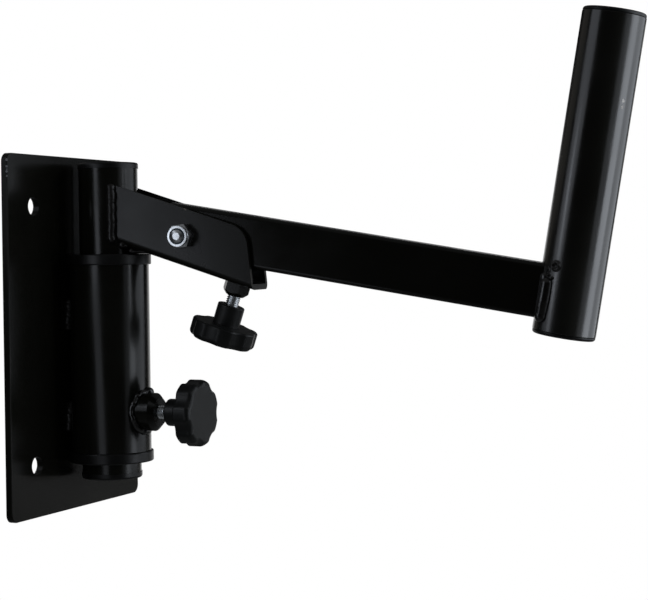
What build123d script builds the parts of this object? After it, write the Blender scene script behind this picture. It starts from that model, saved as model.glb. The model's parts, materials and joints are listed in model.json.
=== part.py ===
import os
from math import cos, radians, sin, sqrt, tan

from build123d import *

os.makedirs("parts", exist_ok=True)

# Speaker wall bracket, sizes in millimetres.
# The origin is the centre of the wall plate's back face, +X points away from the wall, +Z up.

# Wall plate
plate_width = 140.0
plate_height = 210.0
plate_thickness = 4.0
plate_corner_radius = 5.0
plate_edge_radius = 0.5
hole_dia = 11.0
hole_pitch_y = 88.0
hole_pitch_z = 150.0

# Tubes: the pole and the swivel tube are the same 35 mm stock
tube_dia = 35.0
tube_wall = 2.0
sleeve_dia = 47.0
sleeve_wall = 2.5
sleeve_top = 40.5
sleeve_bottom = -69.8
swivel_tube_top = 97.5
swivel_tube_bottom = -82.5

# Flanged plastic bushes at both ends of the sleeve
bush_flange_dia = 49.6
bush_flange_height = 6.3
bush_spigot_length = 12.0
bush_edge_radius = 0.8
bush_running_gap = 0.05
bush_sleeve_gap = 0.15
bush_plate_gap = 0.2

# Plastic plug caps
cap_flange_height = 3.5
cap_overhang = 0.4
cap_edge_radius = 1.4
cap_spigot_length = 9.0
cap_spigot_gap = 0.2
cap_wall = 2.0
pole_cap_height = 2.0
pole_cap_inset = 0.2
pole_cap_edge_radius = 1.5
pole_end_chamfer = 0.5

# Angles of the pose at rest, in degrees
rest_swing = 6.0
rest_drop = 9.8
channel_slope = 18.3

# Tilt channel, folded from sheet
channel_width = 27.0
channel_height = 32.2
channel_sheet = 3.0
channel_inner_bend = 1.0
channel_corner_radius = 14.5
channel_toe = 50.1
channel_end_lean = 23.8
pivot_reach = 53.0
pivot_height = 56.5
pivot_above_web = 16.5

# Arm, rectangular tube
arm_height = 30.0
arm_width = 20.0
arm_wall = 2.0
arm_corner_radius = 2.5
arm_inner_radius = 0.6
pivot_above_arm_bottom = 11.9
pole_from_pivot = 225.3
pole_above_arm_axis = 153.8
pole_below_arm_axis = 21.3

# Pivot bolt and self-locking nut, M8
bolt_dia = 8.0
bolt_running_gap = 0.06
bolt_hole_gap = 0.1
hex_across_flats = 13.0
hex_chamfer_angle = 30.0
hex_face_inset = 0.3
bolt_head_height = 5.3
bolt_end_chamfer = 1.7
bolt_end_bevel = 1.0
nut_hex_height = 5.6
nut_collar_dia = 12.2
nut_collar_height = 2.4
nut_collar_radius = 1.3
nut_turn = 8.0
nylon_ring_dia = 9.2
nylon_ring_height = 1.6
nylon_ring_sink = 0.3
bolt_past_nut = 1.1

# Screws with star knobs, M8
stud_dia = 8.0
stud_thread_gap = 0.06
stud_tip_radius = 3.0
stud_tip_clearance = 0.2
knob_dia = 39.0
knob_lobes = 7
knob_notch_radius = 10.0
knob_notch_depth = 1.6
knob_lobe_radius = 3.5
knob_head_height = 10.9
knob_edge_radius = 3.2
knob_hub_dia = 16.0
knob_hub_height = 12.0
knob_hub_edge = 0.8
knob_bore_depth = 16.0
knob_bore_gap = 0.05
knob_bore_end_gap = 0.4
knob_back_radius = 1.2

# Tilt screw, square to the channel's web
tilt_screw_reach = 36.1
tilt_nut_across_flats = 14.0
tilt_nut_height = 8.0
tilt_nut_end_dia = 10.6
tilt_nut_bevel_angle = 45.0
tilt_hub_below_web = 14.0
tilt_knob_turn = 29.0
web_hole_dia = 9.0

# Lock screw, square to the wall
lock_height = -46.4
lock_boss_dia = 22.4
lock_boss_face = 33.4
lock_boss_chamfer = 3.0
lock_hub_start = 39.6
lock_hole_dia = 10.0
lock_knob_turn = 23.1

# Weld beads
stitch_radius = 3.0
stitch_length = 19.0
stitch_heights = (11.4, -49.4)
stitch_side = 10.2
stitch_lift = 1.4
stitch_end_radius = 1.8
channel_bead_radius = 3.6
channel_bead_sink = 0.9
channel_bead_angle = 61.5
channel_bead_above = 1.4
channel_bead_end_radius = 2.0
bead_leg = 2.4
bead_chamfer = 1.2
pole_bead_leg = 4.4
pole_bead_above = 12.0
pole_bead_below = 15.4

# Derived positions
axis_x = plate_thickness + sleeve_dia / 2
tube_radius = tube_dia / 2
swing = radians(rest_swing)
slope = radians(channel_slope)
drop = radians(rest_drop)
level_out = Vector(cos(swing), sin(swing), 0)
across = Vector(sin(swing), -cos(swing), 0)
up = Vector(0, 0, 1)
side_plane = Plane(origin=(axis_x, 0, 0), x_dir=level_out, z_dir=across)
pivot = side_plane.from_local_coords((pivot_reach, pivot_height, 0))
channel_out = level_out * cos(slope) - up * sin(slope)
arm_out = level_out * cos(drop) - up * sin(drop)
channel_plane = Plane(origin=pivot, x_dir=channel_out, z_dir=across)
arm_plane = Plane(origin=pivot, x_dir=arm_out, z_dir=across)
arm_axis_lift = arm_height / 2 - pivot_above_arm_bottom
web_face = -pivot_above_web
channel_top = channel_height - pivot_above_web

# Wall plate
with BuildPart() as wall_plate:
    with BuildSketch(Plane.YZ):
        RectangleRounded(plate_width, plate_height, plate_corner_radius)
        with GridLocations(hole_pitch_y, hole_pitch_z, 2, 2):
            Circle(hole_dia / 2, mode=Mode.SUBTRACT)
    extrude(amount=plate_thickness)
    rim = wall_plate.faces().sort_by(Axis.X)[-1].outer_wire().edges()
    fillet(rim, plate_edge_radius)

# Outer sleeve, touching the plate along a line, drilled for the lock screw
with BuildPart() as outer_sleeve:
    with BuildSketch(Plane(origin=(axis_x, 0, sleeve_bottom))):
        Circle(sleeve_dia / 2)
        Circle(sleeve_dia / 2 - sleeve_wall, mode=Mode.SUBTRACT)
    extrude(amount=sleeve_top - sleeve_bottom)
    with BuildSketch(Plane(origin=(axis_x, 0, lock_height), x_dir=(0, 1, 0), z_dir=(1, 0, 0))):
        Circle(lock_hole_dia / 2)
    extrude(amount=sleeve_dia, mode=Mode.SUBTRACT)

# Stitches of weld in the grooves on both sides of the sleeve
with BuildPart() as sleeve_welds:
    for height in stitch_heights:
        for side in (-1, 1):
            with BuildSketch(Plane(origin=(plate_thickness + stitch_lift, side * stitch_side, height))):
                Circle(stitch_radius)
            extrude(amount=stitch_length / 2, both=True)
    fillet(sleeve_welds.edges().filter_by(GeomType.CIRCLE), stitch_end_radius)
    with BuildSketch(Plane(origin=(axis_x, 0, sleeve_bottom))):
        Circle(sleeve_dia / 2)
    extrude(amount=sleeve_top - sleeve_bottom, mode=Mode.SUBTRACT)
    with BuildSketch(Plane.YZ):
        Rectangle(plate_width, plate_height)
    extrude(amount=plate_thickness, mode=Mode.SUBTRACT)
    with BuildSketch(Plane.YZ):
        Rectangle(plate_width, plate_height)
    extrude(amount=-plate_thickness, mode=Mode.SUBTRACT)

bush_flat = Plane(origin=(plate_thickness + bush_plate_gap, 0, 0), x_dir=(0, 1, 0), z_dir=(-1, 0, 0))

# Upper bush: flange on the sleeve's end with a flat at the back to clear the plate, spigot inside it
with BuildPart() as upper_bush:
    with BuildSketch(Plane(origin=(axis_x, 0, sleeve_top))):
        Circle(bush_flange_dia / 2)
    extrude(amount=bush_flange_height)
    fillet(upper_bush.edges().sort_by(Axis.Z), bush_edge_radius)
    with BuildSketch(Plane(origin=(axis_x, 0, sleeve_top))):
        Circle(sleeve_dia / 2 - sleeve_wall - bush_sleeve_gap)
    extrude(amount=-bush_spigot_length)
    with BuildSketch(Plane(origin=(axis_x, 0, sleeve_top - bush_spigot_length))):
        Circle(tube_radius + bush_running_gap)
    extrude(amount=bush_spigot_length + bush_flange_height, mode=Mode.SUBTRACT)
    with BuildSketch(bush_flat):
        Rectangle(bush_flange_dia, 2 * plate_height)
    extrude(amount=bush_flange_dia, mode=Mode.SUBTRACT)

# Lower bush, the same piece the other way up
with BuildPart() as lower_bush:
    with BuildSketch(Plane(origin=(axis_x, 0, sleeve_bottom))):
        Circle(bush_flange_dia / 2)
    extrude(amount=-bush_flange_height)
    fillet(lower_bush.edges().sort_by(Axis.Z), bush_edge_radius)
    with BuildSketch(Plane(origin=(axis_x, 0, sleeve_bottom))):
        Circle(sleeve_dia / 2 - sleeve_wall - bush_sleeve_gap)
    extrude(amount=bush_spigot_length)
    with BuildSketch(Plane(origin=(axis_x, 0, sleeve_bottom - bush_flange_height))):
        Circle(tube_radius + bush_running_gap)
    extrude(amount=bush_spigot_length + bush_flange_height, mode=Mode.SUBTRACT)
    with BuildSketch(bush_flat):
        Rectangle(bush_flange_dia, 2 * plate_height)
    extrude(amount=bush_flange_dia, mode=Mode.SUBTRACT)

# Lock boss, shaped to sit on the sleeve, threaded for the lock screw
lock_plane = Plane(origin=(axis_x, 0, lock_height), x_dir=(0, 1, 0), z_dir=(1, 0, 0))
with BuildPart() as lock_boss:
    with BuildSketch(lock_plane):
        Circle(lock_boss_dia / 2)
    extrude(amount=lock_boss_face)
    chamfer(lock_boss.edges().sort_by(Axis.X)[-1], lock_boss_chamfer)
    with BuildSketch(lock_plane):
        Circle(stud_dia / 2 + stud_thread_gap)
    extrude(amount=lock_boss_face, mode=Mode.SUBTRACT)
    with BuildSketch(Plane(origin=(axis_x, 0, sleeve_bottom))):
        Circle(sleeve_dia / 2)
    extrude(amount=sleeve_top - sleeve_bottom, mode=Mode.SUBTRACT)

# Fillet of weld round the boss, following the sleeve
with BuildPart() as boss_weld:
    with BuildSketch(Plane(origin=(axis_x, 0, sleeve_bottom))):
        Circle(sleeve_dia / 2 + bead_leg)
    extrude(amount=sleeve_top - sleeve_bottom)
    with BuildSketch(lock_plane):
        Circle(lock_boss_dia / 2 + bead_leg)
    extrude(amount=lock_boss_face, mode=Mode.INTERSECT)
    chamfer(boss_weld.edges().sort_by(Axis.X)[-1], bead_chamfer)
    with BuildSketch(Plane(origin=(axis_x, 0, sleeve_bottom))):
        Circle(sleeve_dia / 2)
    extrude(amount=sleeve_top - sleeve_bottom, mode=Mode.SUBTRACT)
    with BuildSketch(lock_plane):
        Circle(lock_boss_dia / 2)
    extrude(amount=lock_boss_face, mode=Mode.SUBTRACT)

# Swivel tube
with BuildPart() as swivel_tube:
    with BuildSketch(Plane(origin=(axis_x, 0, swivel_tube_bottom))):
        Circle(tube_radius)
        Circle(tube_radius - tube_wall, mode=Mode.SUBTRACT)
    extrude(amount=swivel_tube_top - swivel_tube_bottom)

# Plug caps of the swivel tube, with a lip a little wider than the tube
with BuildPart() as tube_top_cap:
    with BuildSketch(Plane(origin=(axis_x, 0, swivel_tube_top))):
        Circle(tube_radius + cap_overhang)
    extrude(amount=cap_flange_height)
    fillet(tube_top_cap.edges().sort_by(Axis.Z)[-1], cap_edge_radius)
    with BuildSketch(Plane(origin=(axis_x, 0, swivel_tube_top))):
        Circle(tube_radius - tube_wall - cap_spigot_gap)
        Circle(tube_radius - tube_wall - cap_spigot_gap - cap_wall, mode=Mode.SUBTRACT)
    extrude(amount=-cap_spigot_length)

with BuildPart() as tube_bottom_cap:
    with BuildSketch(Plane(origin=(axis_x, 0, swivel_tube_bottom))):
        Circle(tube_radius + cap_overhang)
    extrude(amount=-cap_flange_height)
    fillet(tube_bottom_cap.edges().sort_by(Axis.Z)[0], cap_edge_radius)
    with BuildSketch(Plane(origin=(axis_x, 0, swivel_tube_bottom))):
        Circle(tube_radius - tube_wall - cap_spigot_gap)
        Circle(tube_radius - tube_wall - cap_spigot_gap - cap_wall, mode=Mode.SUBTRACT)
    extrude(amount=cap_spigot_length)

# Tilt channel: a U of sheet, its back end cut to the swivel tube, its flange ends
# leaning outwards below a large corner radius
channel_back = -pivot_reach / cos(slope) - pivot_above_web
section_plane = Plane(
    origin=channel_plane.from_local_coords((channel_back, 0, 0)), x_dir=across, z_dir=channel_out
)
section_low = pivot_above_web
section_high = -channel_top
inner_width = channel_width - 2 * channel_sheet
outer_bend = channel_inner_bend + channel_sheet
end_run = channel_height * tan(radians(channel_end_lean))
screw_up = channel_plane.y_dir
web_point = channel_plane.from_local_coords((tilt_screw_reach, web_face, 0))
with BuildPart() as tilt_channel:
    with BuildSketch(section_plane):
        with BuildLine():
            FilletPolyline(
                (-channel_width / 2, section_high),
                (-channel_width / 2, section_low),
                (channel_width / 2, section_low),
                (channel_width / 2, section_high),
                radius=outer_bend,
            )
            Line((channel_width / 2, section_high), (-channel_width / 2, section_high))
        make_face()
    extrude(amount=channel_toe - channel_back)
    with BuildSketch(section_plane):
        with BuildLine():
            FilletPolyline(
                (-inner_width / 2, section_high),
                (-inner_width / 2, section_low - channel_sheet),
                (inner_width / 2, section_low - channel_sheet),
                (inner_width / 2, section_high),
                radius=channel_inner_bend,
            )
            Line((inner_width / 2, section_high), (-inner_width / 2, section_high))
        make_face()
    extrude(amount=channel_toe - channel_back, mode=Mode.SUBTRACT)
    with BuildSketch(channel_plane):
        with BuildLine():
            FilletPolyline(
                (channel_back, channel_top),
                (channel_toe - end_run, channel_top),
                (channel_toe, web_face),
                radius=channel_corner_radius,
            )
            Polyline((channel_toe, web_face), (channel_back, web_face), (channel_back, channel_top))
        make_face()
    extrude(amount=channel_width, both=True, mode=Mode.INTERSECT)
    with BuildSketch(Plane(origin=(axis_x, 0, swivel_tube_bottom))):
        Circle(tube_radius)
    extrude(amount=2 * (swivel_tube_top - swivel_tube_bottom), mode=Mode.SUBTRACT)
    with BuildSketch(Plane(origin=(axis_x, 0, 0), x_dir=across, z_dir=-level_out)):
        Rectangle(plate_width, 2 * plate_height)
    extrude(amount=plate_width, mode=Mode.SUBTRACT)
    with BuildSketch(channel_plane):
        Circle(bolt_dia / 2 + bolt_hole_gap)
    extrude(amount=channel_width, both=True, mode=Mode.SUBTRACT)
    with BuildSketch(Plane(origin=web_point, x_dir=across, z_dir=screw_up)):
        Circle(web_hole_dia / 2)
    extrude(amount=2 * channel_sheet, mode=Mode.SUBTRACT)

# Upright beads on the swivel tube where the flanges meet it
butt_reach = sqrt(tube_radius**2 - (channel_width / 2) ** 2)
butt_height = pivot_height + (pivot_reach - butt_reach) * tan(slope)
bead_reach = (tube_radius - channel_bead_sink) * cos(radians(channel_bead_angle))
bead_side = (tube_radius - channel_bead_sink) * sin(radians(channel_bead_angle))
bead_low = butt_height - pivot_above_web / cos(slope)
bead_high = butt_height + channel_top / cos(slope) + channel_bead_above
with BuildPart() as channel_welds:
    for side in (-1, 1):
        bead_foot = side_plane.from_local_coords((bead_reach, bead_low, side * bead_side))
        with BuildSketch(Plane(origin=bead_foot, x_dir=level_out, z_dir=up)):
            Circle(channel_bead_radius)
        extrude(amount=bead_high - bead_low)
    fillet(channel_welds.edges().filter_by(GeomType.CIRCLE), channel_bead_end_radius)
    with BuildSketch(Plane(origin=(axis_x, 0, swivel_tube_bottom))):
        Circle(tube_radius)
    extrude(amount=swivel_tube_top - swivel_tube_bottom, mode=Mode.SUBTRACT)
    add(tilt_channel.part, mode=Mode.SUBTRACT)

# Hexagon nut welded under the web, its lower end bevelled all round
hex_rise = tan(radians(hex_chamfer_angle))
tilt_nut_corner = tilt_nut_across_flats / sqrt(3)
tilt_nut_face = tilt_nut_end_dia / 2
tilt_nut_drop = (tilt_nut_corner - tilt_nut_face) * tan(radians(tilt_nut_bevel_angle))
with BuildPart() as tilt_nut:
    with BuildSketch(Plane(origin=web_point, x_dir=channel_out, z_dir=-screw_up)):
        RegularPolygon(tilt_nut_across_flats / 2, 6, major_radius=False)
        Circle(stud_dia / 2 + stud_thread_gap, mode=Mode.SUBTRACT)
    extrude(amount=tilt_nut_height)
    with BuildSketch(Plane(origin=web_point, x_dir=channel_out, z_dir=across)):
        with BuildLine():
            Polyline(
                (0, 0),
                (tilt_nut_corner, 0),
                (tilt_nut_corner, tilt_nut_drop - tilt_nut_height),
                (tilt_nut_face, -tilt_nut_height),
                (0, -tilt_nut_height),
                close=True,
            )
        make_face()
    revolve(axis=Axis(web_point, screw_up), mode=Mode.INTERSECT)

# Pivot bolt, head on the far side, end just past the nut
hex_corner = hex_across_flats / sqrt(3)
hex_face = hex_across_flats / 2 - hex_face_inset
hex_drop = (hex_corner - hex_face) * hex_rise
far_face = channel_plane.from_local_coords((0, 0, -channel_width / 2))
near_face = channel_plane.from_local_coords((0, 0, channel_width / 2))
nut_height = nut_hex_height + nut_collar_height
with BuildPart() as pivot_bolt:
    with BuildSketch(Plane(origin=far_face, x_dir=level_out, z_dir=-across)):
        RegularPolygon(hex_across_flats / 2, 6, major_radius=False)
    extrude(amount=bolt_head_height)
    with BuildSketch(Plane(origin=far_face, x_dir=level_out, z_dir=up)):
        with BuildLine():
            Polyline(
                (0, 0),
                (hex_corner, 0),
                (hex_corner, bolt_head_height - hex_drop),
                (hex_face, bolt_head_height),
                (0, bolt_head_height),
                close=True,
            )
        make_face()
    revolve(axis=Axis(far_face, across), mode=Mode.INTERSECT)
    with BuildSketch(Plane(origin=far_face, x_dir=level_out, z_dir=across)):
        Circle(bolt_dia / 2)
    extrude(amount=channel_width + nut_height + bolt_past_nut)
    chamfer(pivot_bolt.edges().sort_by(Axis(pivot, across))[-1], bolt_end_chamfer, bolt_end_bevel)

# Self-locking nut with a round collar
with BuildPart() as pivot_nut:
    with BuildSketch(Plane(origin=near_face, x_dir=level_out, z_dir=across)):
        RegularPolygon(hex_across_flats / 2, 6, major_radius=False, rotation=nut_turn)
    extrude(amount=nut_hex_height)
    with BuildSketch(Plane(origin=near_face, x_dir=level_out, z_dir=-up)):
        with BuildLine():
            Polyline(
                (0, 0),
                (hex_corner, 0),
                (hex_corner, nut_hex_height - hex_drop),
                (hex_face, nut_hex_height),
                (0, nut_hex_height),
                close=True,
            )
        make_face()
    revolve(axis=Axis(near_face, across), mode=Mode.INTERSECT)
    with BuildSketch(Plane(origin=near_face, x_dir=level_out, z_dir=across)):
        Circle(nut_collar_dia / 2)
    extrude(amount=nut_height)
    fillet(pivot_nut.edges().sort_by(Axis(pivot, across))[-1], nut_collar_radius)
    with BuildSketch(Plane(origin=near_face, x_dir=level_out, z_dir=across)):
        Circle(bolt_dia / 2)
    extrude(amount=nut_height, mode=Mode.SUBTRACT)
    with BuildSketch(Plane(origin=near_face + across * nut_height, x_dir=level_out, z_dir=-across)):
        Circle(nylon_ring_dia / 2)
    extrude(amount=nylon_ring_height, mode=Mode.SUBTRACT)

# Nylon ring in the nut's collar
ring_seat = near_face + across * (nut_height - nylon_ring_height)
with BuildPart() as nylon_ring:
    with BuildSketch(Plane(origin=ring_seat, x_dir=level_out, z_dir=across)):
        Circle(nylon_ring_dia / 2)
        Circle(bolt_dia / 2, mode=Mode.SUBTRACT)
    extrude(amount=nylon_ring_height - nylon_ring_sink)

# Arm: rectangular tube, back lower corner rounded about the pivot, front end cut to the pole
arm_back = arm_plane.from_local_coords((-pivot_above_arm_bottom, arm_axis_lift, 0))
pole_foot = arm_plane.from_local_coords((pole_from_pivot, arm_axis_lift - pole_below_arm_axis, 0))
pole_up = arm_plane.y_dir
pole_plane = Plane(origin=pole_foot, x_dir=arm_out, z_dir=pole_up)
pole_length = pole_below_arm_axis + pole_above_arm_axis
with BuildPart() as arm_tube:
    with BuildSketch(Plane(origin=arm_back, x_dir=across, z_dir=arm_out)):
        RectangleRounded(arm_width, arm_height, arm_corner_radius)
        RectangleRounded(
            arm_width - 2 * arm_wall, arm_height - 2 * arm_wall, arm_inner_radius, mode=Mode.SUBTRACT
        )
    extrude(amount=pole_from_pivot + pivot_above_arm_bottom)
    with BuildSketch(arm_plane):
        Rectangle(2 * pivot_above_arm_bottom, 2 * pivot_above_arm_bottom, align=(Align.MAX, Align.MAX))
        Circle(pivot_above_arm_bottom, mode=Mode.SUBTRACT)
    extrude(amount=arm_width, both=True, mode=Mode.SUBTRACT)
    with BuildSketch(arm_plane):
        Circle(bolt_dia / 2 + bolt_running_gap)
    extrude(amount=arm_width, both=True, mode=Mode.SUBTRACT)
    with BuildSketch(pole_plane):
        Circle(tube_radius)
    extrude(amount=pole_length, mode=Mode.SUBTRACT)

# Speaker pole, square to the arm
with BuildPart() as speaker_pole:
    with BuildSketch(pole_plane):
        Circle(tube_radius)
        Circle(tube_radius - tube_wall, mode=Mode.SUBTRACT)
    extrude(amount=pole_length)
    pole_ends = speaker_pole.edges().group_by(Axis(pole_foot, pole_up))
    chamfer((pole_ends[0].sort_by(SortBy.RADIUS)[-1], pole_ends[-1].sort_by(SortBy.RADIUS)[-1]), pole_end_chamfer)

# Plug caps of the pole, no wider than the pole, so that a socket slides over
pole_head = pole_foot + pole_up * pole_length
with BuildPart() as pole_top_cap:
    with BuildSketch(Plane(origin=pole_head, x_dir=arm_out, z_dir=pole_up)):
        Circle(tube_radius - pole_cap_inset)
    extrude(amount=pole_cap_height)
    fillet(pole_top_cap.edges().sort_by(Axis(pole_head, pole_up))[-1], pole_cap_edge_radius)
    with BuildSketch(Plane(origin=pole_head, x_dir=arm_out, z_dir=-pole_up)):
        Circle(tube_radius - tube_wall - cap_spigot_gap)
        Circle(tube_radius - tube_wall - cap_spigot_gap - cap_wall, mode=Mode.SUBTRACT)
    extrude(amount=cap_spigot_length)

with BuildPart() as pole_bottom_cap:
    with BuildSketch(Plane(origin=pole_foot, x_dir=arm_out, z_dir=-pole_up)):
        Circle(tube_radius - pole_cap_inset)
    extrude(amount=pole_cap_height)
    fillet(pole_bottom_cap.edges().sort_by(Axis(pole_head, pole_up))[0], pole_cap_edge_radius)
    with BuildSketch(pole_plane):
        Circle(tube_radius - tube_wall - cap_spigot_gap)
        Circle(tube_radius - tube_wall - cap_spigot_gap - cap_wall, mode=Mode.SUBTRACT)
    extrude(amount=cap_spigot_length)

# Upright fillets of weld in the two corners between the arm's sides and the pole
arm_side = arm_width / 2
corner_back = sqrt(tube_radius**2 - arm_side**2)
bead_side = arm_side + pole_bead_leg
bead_back = sqrt(tube_radius**2 - bead_side**2)
bead_base = arm_plane.from_local_coords((pole_from_pivot, arm_axis_lift - pole_bead_below, 0))
with BuildPart() as pole_weld:
    with BuildSketch(Plane(origin=bead_base, x_dir=arm_out, z_dir=pole_up)) as bead_section:
        with BuildLine():
            Polyline(
                (-corner_back - pole_bead_leg, arm_side),
                (-bead_back, bead_side),
                (-bead_back, arm_side),
                close=True,
            )
        make_face()
        mirror(about=Plane.XZ)
    extrude(amount=pole_bead_below + pole_bead_above)
    with BuildSketch(pole_plane):
        Circle(tube_radius)
    extrude(amount=pole_length, mode=Mode.SUBTRACT)
    with BuildSketch(Plane(origin=arm_back, x_dir=across, z_dir=arm_out)):
        RectangleRounded(arm_width, arm_height, arm_corner_radius)
    extrude(amount=pole_from_pivot + pivot_above_arm_bottom, mode=Mode.SUBTRACT)

# Tilt stud: its rounded tip stops just short of the arm's underside.
# The tip touches the sloping underside on the side towards the pivot.
lift_angle = slope - drop
tip_flat = stud_dia / 2 - stud_tip_radius
touch_reach = tilt_screw_reach - tip_flat - stud_tip_radius * sin(lift_angle)
touch_level = touch_reach * tan(lift_angle) - pivot_above_arm_bottom / cos(lift_angle)
tilt_tip = touch_level + stud_tip_radius * (1 - cos(lift_angle)) - stud_tip_clearance
tilt_hub_level = web_face - tilt_hub_below_web
tilt_hub_point = channel_plane.from_local_coords((tilt_screw_reach, tilt_hub_level, 0))
stud_end = knob_bore_depth - knob_bore_end_gap
with BuildPart() as tilt_stud:
    with BuildSketch(Plane(origin=tilt_hub_point - screw_up * stud_end, x_dir=channel_out, z_dir=screw_up)):
        Circle(stud_dia / 2)
    extrude(amount=tilt_tip - tilt_hub_level + stud_end)
    fillet(tilt_stud.edges().sort_by(Axis(pivot, screw_up))[-1], stud_tip_radius)

# Lock stud, its tip just short of the swivel tube
lock_tip = tube_radius + stud_tip_clearance
with BuildPart() as lock_stud:
    with BuildSketch(lock_plane.offset(lock_tip)):
        Circle(stud_dia / 2)
    extrude(amount=lock_hub_start + stud_end - lock_tip)
    chamfer(lock_stud.edges().sort_by(Axis.X)[0], bolt_end_chamfer)

# Star knobs: a round hub and a lobed head, bored for the stud
notch_centre = knob_dia / 2 - knob_notch_depth + knob_notch_radius
tilt_knob_plane = Plane(origin=tilt_hub_point, x_dir=across, z_dir=-screw_up)
with BuildPart() as tilt_knob:
    with BuildSketch(tilt_knob_plane.offset(knob_hub_height)) as tilt_star:
        Circle(knob_dia / 2)
        with PolarLocations(notch_centre, knob_lobes, start_angle=tilt_knob_turn + 180 / knob_lobes):
            Circle(knob_notch_radius, mode=Mode.SUBTRACT)
        fillet(tilt_star.vertices(), knob_lobe_radius)
    extrude(amount=knob_head_height)
    fillet(tilt_knob.edges().group_by(Axis(tilt_hub_point, -screw_up))[-1], knob_edge_radius)
    fillet(tilt_knob.edges().group_by(Axis(tilt_hub_point, -screw_up))[0], knob_back_radius)
    with BuildSketch(tilt_knob_plane):
        Circle(knob_hub_dia / 2)
    extrude(amount=knob_hub_height)
    fillet(tilt_knob.edges().sort_by(Axis(tilt_hub_point, -screw_up))[0], knob_hub_edge)
    with BuildSketch(tilt_knob_plane):
        Circle(stud_dia / 2 + knob_bore_gap)
    extrude(amount=knob_bore_depth, mode=Mode.SUBTRACT)

lock_knob_plane = lock_plane.offset(lock_hub_start)
with BuildPart() as lock_knob:
    with BuildSketch(lock_knob_plane.offset(knob_hub_height)) as lock_star:
        Circle(knob_dia / 2)
        with PolarLocations(notch_centre, knob_lobes, start_angle=lock_knob_turn + 180 / knob_lobes):
            Circle(knob_notch_radius, mode=Mode.SUBTRACT)
        fillet(lock_star.vertices(), knob_lobe_radius)
    extrude(amount=knob_head_height)
    fillet(lock_knob.edges().group_by(Axis.X)[-1], knob_edge_radius)
    fillet(lock_knob.edges().group_by(Axis.X)[0], knob_back_radius)
    with BuildSketch(lock_knob_plane):
        Circle(knob_hub_dia / 2)
    extrude(amount=knob_hub_height)
    fillet(lock_knob.edges().sort_by(Axis.X)[0], knob_hub_edge)
    with BuildSketch(lock_knob_plane):
        Circle(stud_dia / 2 + knob_bore_gap)
    extrude(amount=knob_bore_depth, mode=Mode.SUBTRACT)

wall_plate.part.label = "wall_plate"
outer_sleeve.part.label = "outer_sleeve"
sleeve_welds.part.label = "sleeve_welds"
upper_bush.part.label = "upper_bush"
lower_bush.part.label = "lower_bush"
lock_boss.part.label = "lock_boss"
boss_weld.part.label = "boss_weld"
swivel_tube.part.label = "swivel_tube"
tube_top_cap.part.label = "tube_top_cap"
tube_bottom_cap.part.label = "tube_bottom_cap"
tilt_channel.part.label = "tilt_channel"
channel_welds.part.label = "channel_welds"
tilt_nut.part.label = "tilt_nut"
pivot_bolt.part.label = "pivot_bolt"
pivot_nut.part.label = "pivot_nut"
nylon_ring.part.label = "nylon_ring"
arm_tube.part.label = "arm_tube"
speaker_pole.part.label = "speaker_pole"
pole_top_cap.part.label = "pole_top_cap"
pole_bottom_cap.part.label = "pole_bottom_cap"
pole_weld.part.label = "pole_weld"
tilt_stud.part.label = "tilt_stud"
tilt_knob.part.label = "tilt_knob"
lock_stud.part.label = "lock_stud"
lock_knob.part.label = "lock_knob"

export_step(wall_plate.part, "parts/wall_plate.step")
export_step(outer_sleeve.part, "parts/outer_sleeve.step")
export_step(sleeve_welds.part, "parts/sleeve_welds.step")
export_step(upper_bush.part, "parts/upper_bush.step")
export_step(lower_bush.part, "parts/lower_bush.step")
export_step(lock_boss.part, "parts/lock_boss.step")
export_step(boss_weld.part, "parts/boss_weld.step")
export_step(swivel_tube.part, "parts/swivel_tube.step")
export_step(tube_top_cap.part, "parts/tube_top_cap.step")
export_step(tube_bottom_cap.part, "parts/tube_bottom_cap.step")
export_step(tilt_channel.part, "parts/tilt_channel.step")
export_step(channel_welds.part, "parts/channel_welds.step")
export_step(tilt_nut.part, "parts/tilt_nut.step")
export_step(pivot_bolt.part, "parts/pivot_bolt.step")
export_step(pivot_nut.part, "parts/pivot_nut.step")
export_step(nylon_ring.part, "parts/nylon_ring.step")
export_step(arm_tube.part, "parts/arm_tube.step")
export_step(speaker_pole.part, "parts/speaker_pole.step")
export_step(pole_top_cap.part, "parts/pole_top_cap.step")
export_step(pole_bottom_cap.part, "parts/pole_bottom_cap.step")
export_step(pole_weld.part, "parts/pole_weld.step")
export_step(tilt_stud.part, "parts/tilt_stud.step")
export_step(tilt_knob.part, "parts/tilt_knob.step")
export_step(lock_stud.part, "parts/lock_stud.step")
export_step(lock_knob.part, "parts/lock_knob.step")
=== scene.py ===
# %% [markdown]
# A speaker wall bracket: a steel plate with a sleeve, a swivel tube that turns in it,
# a tilting arm and an upright 35 mm pole, all in black paint.
# The CAD model gives every size and place, so this script adds finishes and the small
# forms that a solid model leaves out: weld ripples, screw threads, paint chips.

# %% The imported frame
import json
import math

import bmesh
import bpy
from mathutils import Matrix, Vector


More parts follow.
